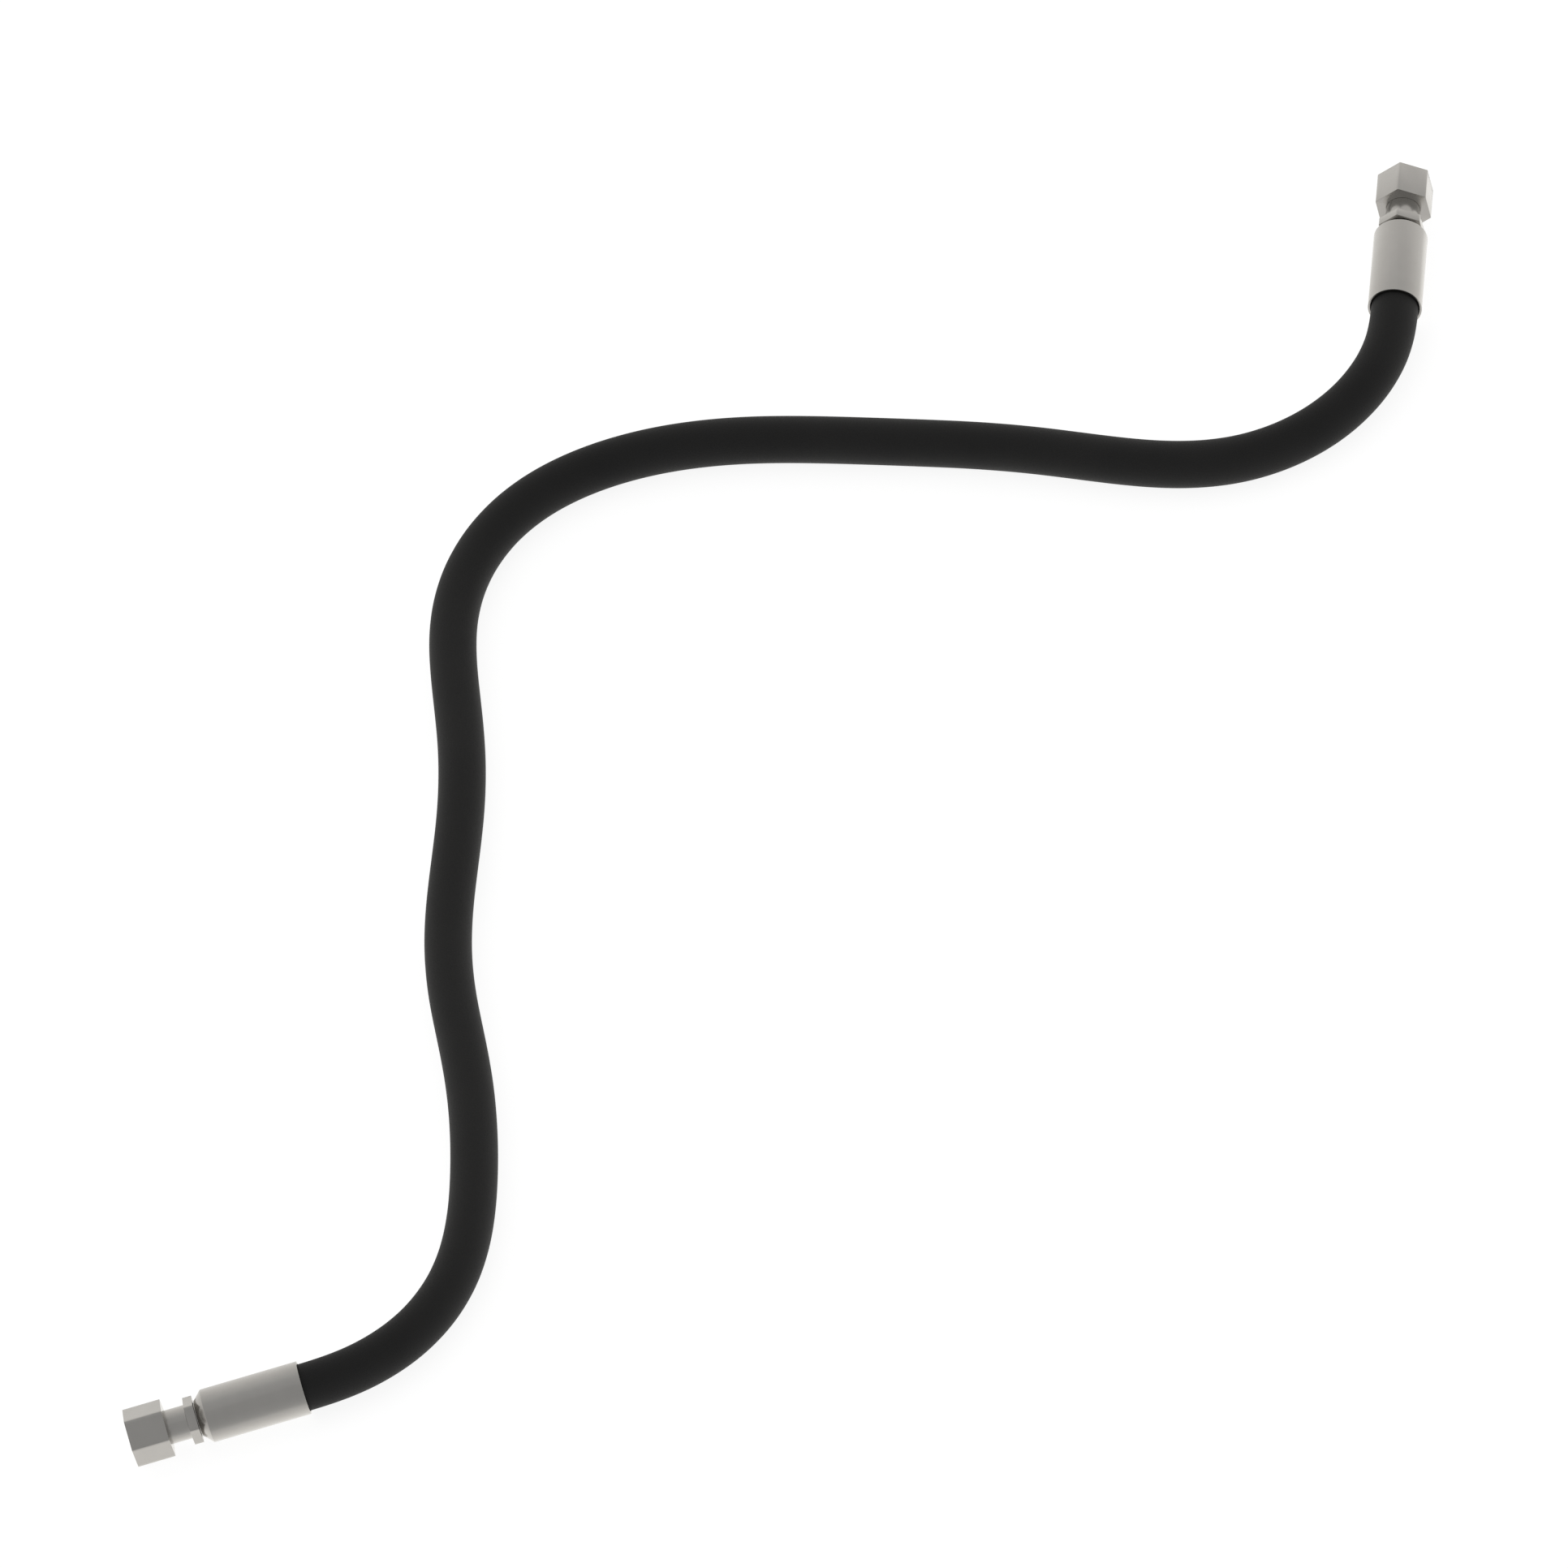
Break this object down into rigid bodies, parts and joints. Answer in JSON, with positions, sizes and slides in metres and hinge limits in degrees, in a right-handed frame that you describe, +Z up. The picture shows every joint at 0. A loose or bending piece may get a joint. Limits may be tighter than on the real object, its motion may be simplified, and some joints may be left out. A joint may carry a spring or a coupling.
{
  "type": "hydraulic hose assembly",
  "caption": "Flexible hydraulic hose lying in a loose S, with a crimped ferrule, hex stem and hexagonal swivel nut on each end.",
  "frame": {"origin": "middle of the underside of the whole assembly's bounding box, on the surface it lies on", "axes": "+Z up from that surface, +X along the longest extent, from the end with swivel_nut_a to the end with swivel_nut_b, +Y towards the crest of the hose's S"},
  "size_m": [0.5732, 0.3967, 0.0201],
  "materials": {
    "hose_rubber": "matt black synthetic rubber cover with fine moulding texture",
    "liner_rubber": "matt black nitrile rubber",
    "braid_wire": "bright drawn steel wire",
    "plated_steel": "satin zinc-nickel plating over turned steel, pale warm grey",
    "spring_wire": "plain drawn spring wire"
  },
  "bodies": {
    "hose": {"hose_cover": "hose_rubber", "wire_braid": "braid_wire", "inner_tube": "liner_rubber", "stem_a": "plated_steel", "ferrule_a": "plated_steel", "retaining_wire_a": "spring_wire", "stem_b": "plated_steel", "ferrule_b": "plated_steel", "retaining_wire_b": "spring_wire"},
    "nut_a": {"swivel_nut_a": "plated_steel"},
    "nut_b": {"swivel_nut_b": "plated_steel"}
  },
  "joints": [
    {"name": "nut_a_swivel", "type": "hinge", "parent": "hose", "child": "nut_a", "pos_m": [-0.279, -0.18302, 0.00989], "axis": [-0.9936, 0.1132, 0], "continuous": true},
    {"name": "nut_b_swivel", "type": "hinge", "parent": "hose", "child": "nut_b", "pos_m": [0.2759, 0.17209, 0.01007], "axis": [0.3355, 0.9421, 0], "continuous": true}
  ]
}
